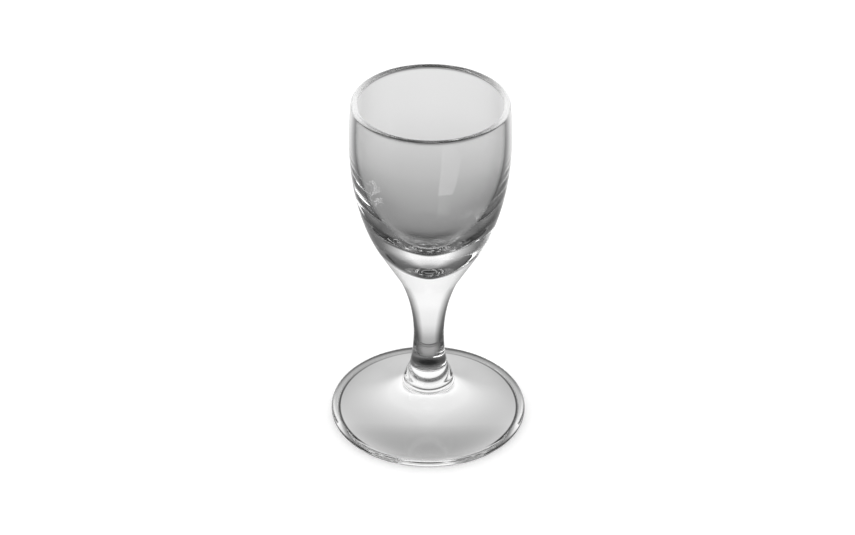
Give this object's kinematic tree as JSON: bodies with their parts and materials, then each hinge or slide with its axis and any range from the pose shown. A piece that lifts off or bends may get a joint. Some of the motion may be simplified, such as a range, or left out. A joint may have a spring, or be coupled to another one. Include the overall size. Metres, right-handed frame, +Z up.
{
  "type": "cordial glass",
  "caption": "Clear cordial glass: thick-bottomed egg-shaped bowl with a rounded rim, short waisted stem, thin collar and domed round foot.",
  "frame": {"origin": "centre of the circle that the foot stands on", "axes": "+Z up along the stem, the axis that the whole glass is turned about"},
  "size_m": [0.0546, 0.0546, 0.1],
  "materials": {
    "clear_glass": "clear, fire-polished, smooth"
  },
  "bodies": {
    "root": {"foot": "clear_glass", "collar": "clear_glass", "stem": "clear_glass", "bowl": "clear_glass"}
  },
  "joints": []
}
